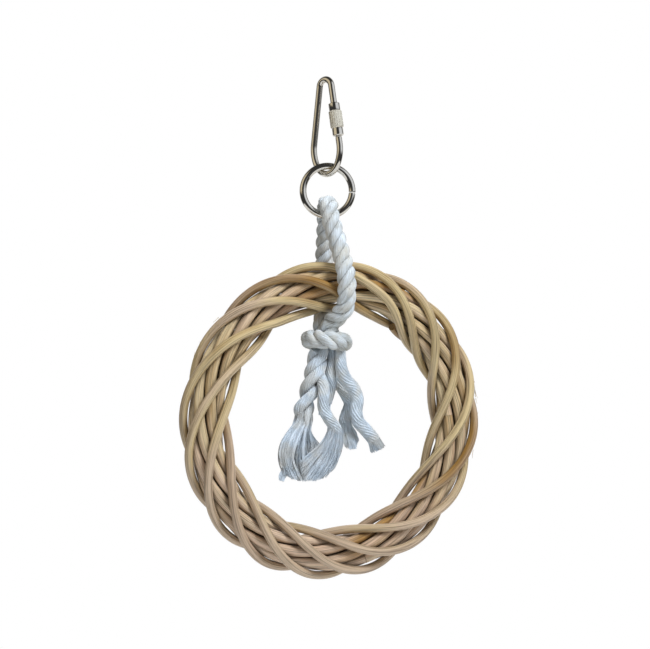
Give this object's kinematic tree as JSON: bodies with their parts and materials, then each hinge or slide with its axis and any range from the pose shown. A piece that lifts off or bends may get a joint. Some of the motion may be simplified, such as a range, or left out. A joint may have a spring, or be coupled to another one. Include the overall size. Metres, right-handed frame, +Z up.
{
  "type": "hanging rattan ring bird toy",
  "caption": "Perch ring wound from rattan cane, hung in a knotted cotton rope loop with frayed ends from a steel ring and a pear-shaped quick link.",
  "frame": {"origin": "inside of the quick link's crown, where a hook or cage bar carries the toy", "axes": "+Z up along the line that the toy hangs on, rattan ring in the XZ plane, front towards -Y"},
  "size_m": [0.1423, 0.0395, 0.2261],
  "materials": {
    "nickel_plated_steel": "bright nickel plating",
    "cotton_rope": "three-strand twisted cotton, undyed",
    "rattan_outer": "natural rattan cane, satin",
    "rattan_inner": "peeled rattan core, matt",
    "rattan_core": "natural rattan cane, matt"
  },
  "bodies": {
    "link": {"quick_link_body": "nickel_plated_steel"},
    "sleeve": {"quick_link_sleeve": "nickel_plated_steel"},
    "ring": {"steel_ring": "nickel_plated_steel"},
    "rope": {"rope_loop": "cotton_rope", "rope_knot": "cotton_rope", "tail_strand_a": "cotton_rope", "tail_strand_b": "cotton_rope", "tail_strand_c": "cotton_rope", "tail_strand_d": "cotton_rope", "tail_strand_e": "cotton_rope", "tail_strand_f": "cotton_rope"},
    "rattan": {"winding_cane_1": "rattan_outer", "winding_cane_2": "rattan_outer", "winding_cane_3": "rattan_outer", "inner_cane_1": "rattan_inner", "inner_cane_2": "rattan_inner", "inner_cane_3": "rattan_inner", "inner_cane_4": "rattan_inner", "inner_cane_5": "rattan_inner", "inner_cane_6": "rattan_inner", "core_hoop": "rattan_core"}
  },
  "joints": [
    {"name": "sleeve_slide", "type": "slide", "parent": "link", "child": "sleeve", "axis": [-0.0717, 0.1348, 0.9883], "range_m": [0, 0.0085]},
    {"name": "ring_turn", "type": "hinge", "parent": "link", "child": "ring", "pos_m": [0, 0, -0.04865], "axis": [0.2419, 0.9703, 0], "range_deg": [-40, 40]},
    {"name": "rope_swing", "type": "hinge", "parent": "ring", "child": "rope", "pos_m": [0, 0, -0.0598], "axis": [0.9703, -0.2419, 0], "range_deg": [-60, 60]},
    {"name": "rattan_turn", "type": "hinge", "parent": "rope", "child": "rattan", "pos_m": [0, 0, -0.15165], "axis": [0, 1, 0], "continuous": true}
  ]
}
